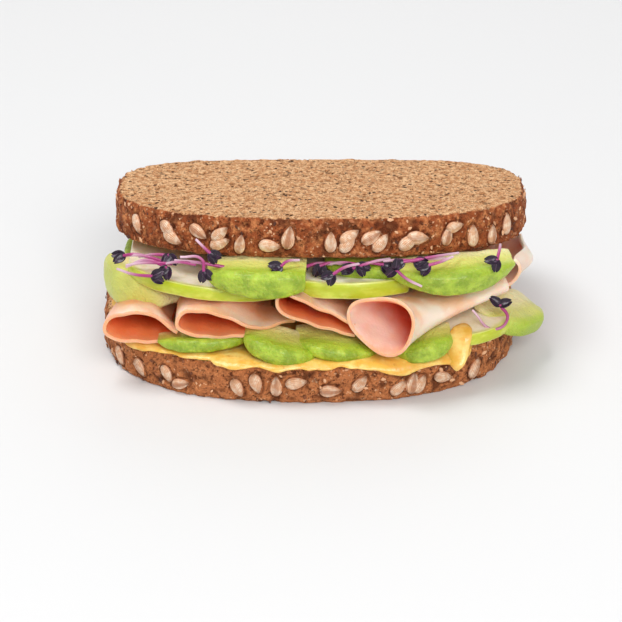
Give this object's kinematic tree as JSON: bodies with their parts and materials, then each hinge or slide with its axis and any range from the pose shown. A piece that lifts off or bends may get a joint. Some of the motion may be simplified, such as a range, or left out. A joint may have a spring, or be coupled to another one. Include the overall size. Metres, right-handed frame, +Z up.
{
  "type": "ham sandwich",
  "caption": "Seeded wholegrain sandwich with folded and rolled ham, avocado and green apple slices, radish sprouts and mustard sauce.",
  "frame": {"origin": "centre of the lower slice's flat underside", "axes": "+X along the sandwich, -Y towards the side where the ham folds open, +Z up through the slices"},
  "size_m": [0.1472, 0.1172, 0.0578],
  "materials": {
    "bread": "matt porous wholegrain crumb and rough baked crust with sunflower kernels",
    "sauce": "wet glossy mustard sauce",
    "ham": "moist satin cooked ham with a darker rim",
    "avocado": "smooth satin avocado flesh, greener towards the peel",
    "apple": "pale moist flesh with a shiny green skin round its edge",
    "cress": "satin dark purple seed leaves on pink to white stems"
  },
  "bodies": {
    "root": {"bread_bottom": "bread", "bread_top": "bread", "sauce": "sauce", "ham_1": "ham", "ham_2": "ham", "ham_3": "ham", "ham_4": "ham", "ham_5": "ham", "ham_6": "ham", "avocado_1": "avocado", "avocado_2": "avocado", "avocado_3": "avocado", "avocado_4": "avocado", "avocado_5": "avocado", "avocado_6": "avocado", "avocado_7": "avocado", "avocado_8": "avocado", "avocado_9": "avocado", "avocado_10": "avocado", "avocado_11": "avocado", "avocado_12": "avocado", "avocado_13": "avocado", "avocado_14": "avocado", "apple_1": "apple", "apple_2": "apple", "apple_3": "apple", "apple_4": "apple", "apple_5": "apple", "sprout_1": "cress", "sprout_2": "cress", "sprout_3": "cress", "sprout_4": "cress", "sprout_5": "cress", "sprout_6": "cress", "sprout_7": "cress", "sprout_8": "cress", "sprout_9": "cress", "sprout_10": "cress", "sprout_11": "cress", "sprout_12": "cress", "sprout_13": "cress"}
  },
  "joints": []
}
